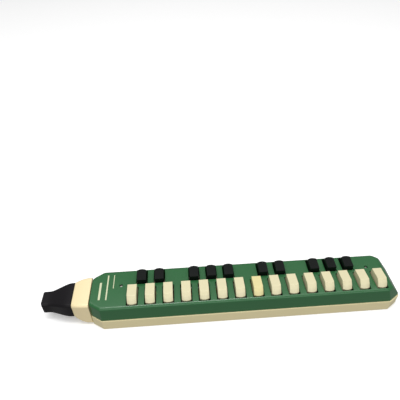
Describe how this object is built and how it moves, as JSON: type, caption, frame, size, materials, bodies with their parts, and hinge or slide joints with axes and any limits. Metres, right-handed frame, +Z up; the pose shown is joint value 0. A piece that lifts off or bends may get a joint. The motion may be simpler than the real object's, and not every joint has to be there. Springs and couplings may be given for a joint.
{
  "type": "melodica",
  "caption": "Mouth-blown keyboard reed organ: green cover, cream base and neck, black mouthpiece, sprung white and black keys over felted valves.",
  "frame": {"origin": "under the middle of the whole length, on the surface the underside lies on", "axes": "+X from the mouthpiece to the closed end, +Y from the white keys to the black keys, +Z up"},
  "size_m": [0.39, 0.0532, 0.041],
  "materials": {
    "green_cover": "semi-gloss moulded plastic",
    "cream_shell": "semi-gloss moulded plastic",
    "cream_neck": "semi-gloss moulded plastic",
    "ivory_key": "semi-gloss moulded plastic, slightly aged",
    "black_key": "semi-gloss moulded plastic",
    "black_mouthpiece": "satin moulded plastic",
    "brass": "rolled sheet",
    "board": "matt moulded plastic",
    "steel": "drawn wire",
    "felt": "felt faced pad"
  },
  "bodies": {
    "body": {"base_shell": "cream_shell", "top_cover": "green_cover", "neck": "cream_neck", "reed_plate": "brass", "spring_comb": "brass", "valve_board": "board", "pivot_rod": "steel", "cover_screw_left": "steel", "cover_screw_right": "steel"},
    "mouthpiece": {"mouthpiece": "black_mouthpiece"},
    "key_c4": {"white_key_c4": "ivory_key", "pad_c4": "felt"},
    "key_d4": {"white_key_d4": "ivory_key", "pad_d4": "felt"},
    "key_e4": {"white_key_e4": "ivory_key", "pad_e4": "felt"},
    "key_f4": {"white_key_f4": "ivory_key", "pad_f4": "felt"},
    "key_g4": {"white_key_g4": "ivory_key", "pad_g4": "felt"},
    "key_a4": {"white_key_a4": "ivory_key", "pad_a4": "felt"},
    "key_b4": {"white_key_b4": "ivory_key", "pad_b4": "felt"},
    "key_c5": {"white_key_c5": "ivory_key", "pad_c5": "felt"},
    "key_d5": {"white_key_d5": "ivory_key", "pad_d5": "felt"},
    "key_e5": {"white_key_e5": "ivory_key", "pad_e5": "felt"},
    "key_f5": {"white_key_f5": "ivory_key", "pad_f5": "felt"},
    "key_g5": {"white_key_g5": "ivory_key", "pad_g5": "felt"},
    "key_a5": {"white_key_a5": "ivory_key", "pad_a5": "felt"},
    "key_b5": {"white_key_b5": "ivory_key", "pad_b5": "felt"},
    "key_c6": {"white_key_c6": "ivory_key", "pad_c6": "felt"},
    "key_c_sharp4": {"black_key_c_sharp4": "black_key", "pad_c_sharp4": "felt"},
    "key_d_sharp4": {"black_key_d_sharp4": "black_key", "pad_d_sharp4": "felt"},
    "key_f_sharp4": {"black_key_f_sharp4": "black_key", "pad_f_sharp4": "felt"},
    "key_g_sharp4": {"black_key_g_sharp4": "black_key", "pad_g_sharp4": "felt"},
    "key_a_sharp4": {"black_key_a_sharp4": "black_key", "pad_a_sharp4": "felt"},
    "key_c_sharp5": {"black_key_c_sharp5": "black_key", "pad_c_sharp5": "felt"},
    "key_d_sharp5": {"black_key_d_sharp5": "black_key", "pad_d_sharp5": "felt"},
    "key_f_sharp5": {"black_key_f_sharp5": "black_key", "pad_f_sharp5": "felt"},
    "key_g_sharp5": {"black_key_g_sharp5": "black_key", "pad_g_sharp5": "felt"},
    "key_a_sharp5": {"black_key_a_sharp5": "black_key", "pad_a_sharp5": "felt"}
  },
  "joints": [
    {"name": "mouthpiece_pull", "type": "slide", "parent": "body", "child": "mouthpiece", "axis": [-1, 0, 0], "range_m": [0, 0.012]},
    {"name": "key_c4_press", "type": "hinge", "parent": "body", "child": "key_c4", "pos_m": [-0.0952, 0.0029, 0.0225], "axis": [1, 0, 0], "range_deg": [0, 5], "stiffness_Nm_per_rad": 0.03, "springref_deg": -17.19},
    {"name": "key_d4_press", "type": "hinge", "parent": "body", "child": "key_d4", "pos_m": [-0.0762, 0.0029, 0.0225], "axis": [1, 0, 0], "range_deg": [0, 5], "stiffness_Nm_per_rad": 0.03, "springref_deg": -17.19},
    {"name": "key_e4_press", "type": "hinge", "parent": "body", "child": "key_e4", "pos_m": [-0.0572, 0.0029, 0.0225], "axis": [1, 0, 0], "range_deg": [0, 5], "stiffness_Nm_per_rad": 0.03, "springref_deg": -17.19},
    {"name": "key_f4_press", "type": "hinge", "parent": "body", "child": "key_f4", "pos_m": [-0.0382, 0.0029, 0.0225], "axis": [1, 0, 0], "range_deg": [0, 5], "stiffness_Nm_per_rad": 0.03, "springref_deg": -17.19},
    {"name": "key_g4_press", "type": "hinge", "parent": "body", "child": "key_g4", "pos_m": [-0.0192, 0.0029, 0.0225], "axis": [1, 0, 0], "range_deg": [0, 5], "stiffness_Nm_per_rad": 0.03, "springref_deg": -17.19},
    {"name": "key_a4_press", "type": "hinge", "parent": "body", "child": "key_a4", "pos_m": [-0.0002, 0.0029, 0.0225], "axis": [1, 0, 0], "range_deg": [0, 5], "stiffness_Nm_per_rad": 0.03, "springref_deg": -17.19},
    {"name": "key_b4_press", "type": "hinge", "parent": "body", "child": "key_b4", "pos_m": [0.0188, 0.0029, 0.0225], "axis": [1, 0, 0], "range_deg": [0, 5], "stiffness_Nm_per_rad": 0.03, "springref_deg": -17.19},
    {"name": "key_c5_press", "type": "hinge", "parent": "body", "child": "key_c5", "pos_m": [0.0378, 0.0029, 0.0225], "axis": [1, 0, 0], "range_deg": [0, 5], "stiffness_Nm_per_rad": 0.03, "springref_deg": -17.19},
    {"name": "key_d5_press", "type": "hinge", "parent": "body", "child": "key_d5", "pos_m": [0.0568, 0.0029, 0.0225], "axis": [1, 0, 0], "range_deg": [0, 5], "stiffness_Nm_per_rad": 0.03, "springref_deg": -17.19},
    {"name": "key_e5_press", "type": "hinge", "parent": "body", "child": "key_e5", "pos_m": [0.0758, 0.0029, 0.0225], "axis": [1, 0, 0], "range_deg": [0, 5], "stiffness_Nm_per_rad": 0.03, "springref_deg": -17.19},
    {"name": "key_f5_press", "type": "hinge", "parent": "body", "child": "key_f5", "pos_m": [0.0948, 0.0029, 0.0225], "axis": [1, 0, 0], "range_deg": [0, 5], "stiffness_Nm_per_rad": 0.03, "springref_deg": -17.19},
    {"name": "key_g5_press", "type": "hinge", "parent": "body", "child": "key_g5", "pos_m": [0.1138, 0.0029, 0.0225], "axis": [1, 0, 0], "range_deg": [0, 5], "stiffness_Nm_per_rad": 0.03, "springref_deg": -17.19},
    {"name": "key_a5_press", "type": "hinge", "parent": "body", "child": "key_a5", "pos_m": [0.1328, 0.0029, 0.0225], "axis": [1, 0, 0], "range_deg": [0, 5], "stiffness_Nm_per_rad": 0.03, "springref_deg": -17.19},
    {"name": "key_b5_press", "type": "hinge", "parent": "body", "child": "key_b5", "pos_m": [0.1518, 0.0029, 0.0225], "axis": [1, 0, 0], "range_deg": [0, 5], "stiffness_Nm_per_rad": 0.03, "springref_deg": -17.19},
    {"name": "key_c6_press", "type": "hinge", "parent": "body", "child": "key_c6", "pos_m": [0.1708, 0.0029, 0.0225], "axis": [1, 0, 0], "range_deg": [0, 5], "stiffness_Nm_per_rad": 0.03, "springref_deg": -17.19},
    {"name": "key_c_sharp4_press", "type": "hinge", "parent": "body", "child": "key_c_sharp4", "pos_m": [-0.0857, 0.0029, 0.0225], "axis": [-1, 0, 0], "range_deg": [0, 6], "stiffness_Nm_per_rad": 0.03, "springref_deg": -17.19},
    {"name": "key_d_sharp4_press", "type": "hinge", "parent": "body", "child": "key_d_sharp4", "pos_m": [-0.0667, 0.0029, 0.0225], "axis": [-1, 0, 0], "range_deg": [0, 6], "stiffness_Nm_per_rad": 0.03, "springref_deg": -17.19},
    {"name": "key_f_sharp4_press", "type": "hinge", "parent": "body", "child": "key_f_sharp4", "pos_m": [-0.0287, 0.0029, 0.0225], "axis": [-1, 0, 0], "range_deg": [0, 6], "stiffness_Nm_per_rad": 0.03, "springref_deg": -17.19},
    {"name": "key_g_sharp4_press", "type": "hinge", "parent": "body", "child": "key_g_sharp4", "pos_m": [-0.0097, 0.0029, 0.0225], "axis": [-1, 0, 0], "range_deg": [0, 6], "stiffness_Nm_per_rad": 0.03, "springref_deg": -17.19},
    {"name": "key_a_sharp4_press", "type": "hinge", "parent": "body", "child": "key_a_sharp4", "pos_m": [0.0093, 0.0029, 0.0225], "axis": [-1, 0, 0], "range_deg": [0, 6], "stiffness_Nm_per_rad": 0.03, "springref_deg": -17.19},
    {"name": "key_c_sharp5_press", "type": "hinge", "parent": "body", "child": "key_c_sharp5", "pos_m": [0.0473, 0.0029, 0.0225], "axis": [-1, 0, 0], "range_deg": [0, 6], "stiffness_Nm_per_rad": 0.03, "springref_deg": -17.19},
    {"name": "key_d_sharp5_press", "type": "hinge", "parent": "body", "child": "key_d_sharp5", "pos_m": [0.0663, 0.0029, 0.0225], "axis": [-1, 0, 0], "range_deg": [0, 6], "stiffness_Nm_per_rad": 0.03, "springref_deg": -17.19},
    {"name": "key_f_sharp5_press", "type": "hinge", "parent": "body", "child": "key_f_sharp5", "pos_m": [0.1043, 0.0029, 0.0225], "axis": [-1, 0, 0], "range_deg": [0, 6], "stiffness_Nm_per_rad": 0.03, "springref_deg": -17.19},
    {"name": "key_g_sharp5_press", "type": "hinge", "parent": "body", "child": "key_g_sharp5", "pos_m": [0.1233, 0.0029, 0.0225], "axis": [-1, 0, 0], "range_deg": [0, 6], "stiffness_Nm_per_rad": 0.03, "springref_deg": -17.19},
    {"name": "key_a_sharp5_press", "type": "hinge", "parent": "body", "child": "key_a_sharp5", "pos_m": [0.1423, 0.0029, 0.0225], "axis": [-1, 0, 0], "range_deg": [0, 6], "stiffness_Nm_per_rad": 0.03, "springref_deg": -17.19}
  ]
}
